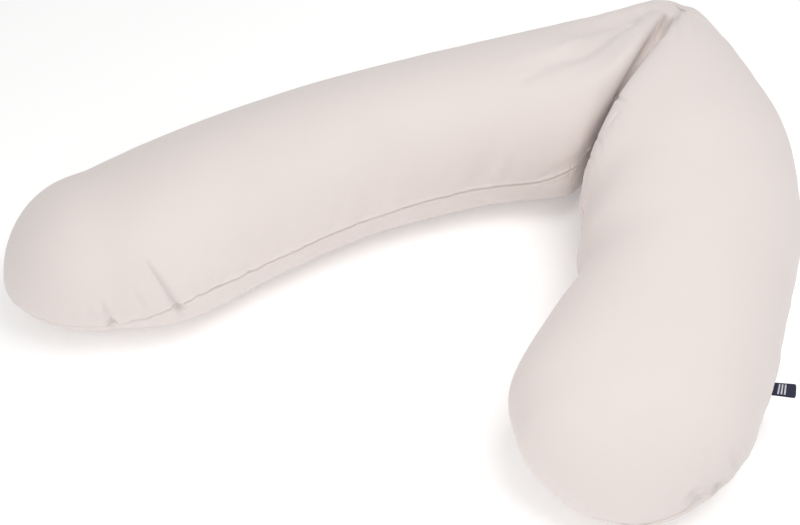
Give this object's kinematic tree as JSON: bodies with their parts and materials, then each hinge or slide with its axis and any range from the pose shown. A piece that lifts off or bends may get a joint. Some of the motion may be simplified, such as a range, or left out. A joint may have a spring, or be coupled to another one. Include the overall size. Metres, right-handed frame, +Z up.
{
  "type": "body pillow",
  "caption": "Long filled body pillow lying bent at its elbow, two rounded arms parted by a deep crease, plain cotton cover with a sewn edge and a small folded label.",
  "frame": {"origin": "middle of the box's underside, on the surface that the pillow rests on", "axes": "+X to the elbow's side, along the longest extent, +Y from the open mouth between the arms to the elbow's corner, +Z up"},
  "size_m": [0.9666, 0.825, 0.197],
  "materials": {
    "cover": "fine smooth cotton weave, pale greige",
    "label": "folded woven tape, dark navy"
  },
  "bodies": {
    "root": {"pillow": "cover", "label": "label"}
  },
  "joints": []
}
